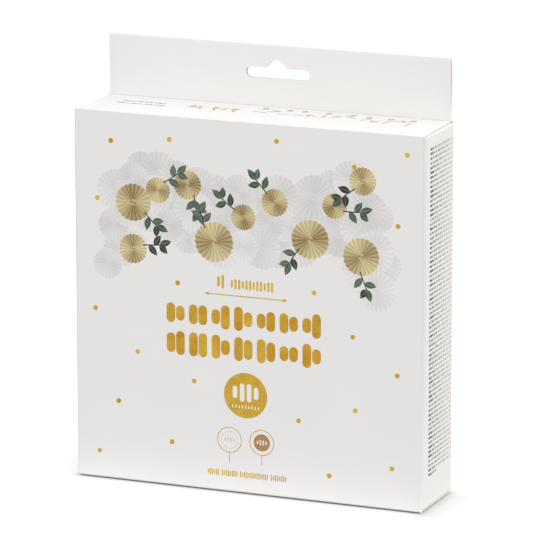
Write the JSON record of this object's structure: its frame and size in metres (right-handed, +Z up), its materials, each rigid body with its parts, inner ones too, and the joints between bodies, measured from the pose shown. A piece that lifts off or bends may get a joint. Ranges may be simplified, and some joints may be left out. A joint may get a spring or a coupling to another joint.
{
  "type": "hang-tab carton",
  "caption": "Empty folded-board carton with a double hang tab and slot, a lid with a tuck flap at each end, and dust flaps.",
  "frame": {"origin": "middle of the box's footprint, on the surface that it stands on", "axes": "+Z up, +X to the right seen from the front, the front panel faces -Y and the hang tab rises from the back panel at +Y"},
  "size_m": [0.182, 0.041, 0.216],
  "materials": {
    "white_board": "coated white folding board, semi-matt, printed",
    "plain_board": "uncoated cream folding board"
  },
  "bodies": {
    "carton": {"carton_body": "white_board"},
    "top_lid": {"top_lid": "white_board"},
    "bottom_lid": {"bottom_lid": "white_board"},
    "top_dust_flap_left": {"top_dust_flap_left": "plain_board"},
    "top_dust_flap_right": {"top_dust_flap_right": "plain_board"},
    "bottom_dust_flap_left": {"bottom_dust_flap_left": "plain_board"},
    "bottom_dust_flap_right": {"bottom_dust_flap_right": "plain_board"}
  },
  "joints": [
    {"name": "top_lid_crease", "type": "hinge", "parent": "carton", "child": "top_lid", "pos_m": [0, 0.0189, 0.1853], "axis": [-1, 0, 0], "range_deg": [0, 80]},
    {"name": "bottom_lid_crease", "type": "hinge", "parent": "carton", "child": "bottom_lid", "pos_m": [0, -0.02025, 0.00025], "axis": [-1, 0, 0], "range_deg": [0, 175]},
    {"name": "top_flap_crease_left", "type": "hinge", "parent": "carton", "child": "top_dust_flap_left", "pos_m": [-0.0902, 0, 0.1834], "axis": [0, 1, 0], "range_deg": [0, 88]},
    {"name": "top_flap_crease_right", "type": "hinge", "parent": "carton", "child": "top_dust_flap_right", "pos_m": [0.0902, 0, 0.1834], "axis": [0, -1, 0], "range_deg": [0, 88]},
    {"name": "bottom_flap_crease_left", "type": "hinge", "parent": "carton", "child": "bottom_dust_flap_left", "pos_m": [-0.0902, 0, 0.0016], "axis": [0, -1, 0], "range_deg": [0, 88]},
    {"name": "bottom_flap_crease_right", "type": "hinge", "parent": "carton", "child": "bottom_dust_flap_right", "pos_m": [0.0902, 0, 0.0016], "axis": [0, 1, 0], "range_deg": [0, 88]}
  ]
}
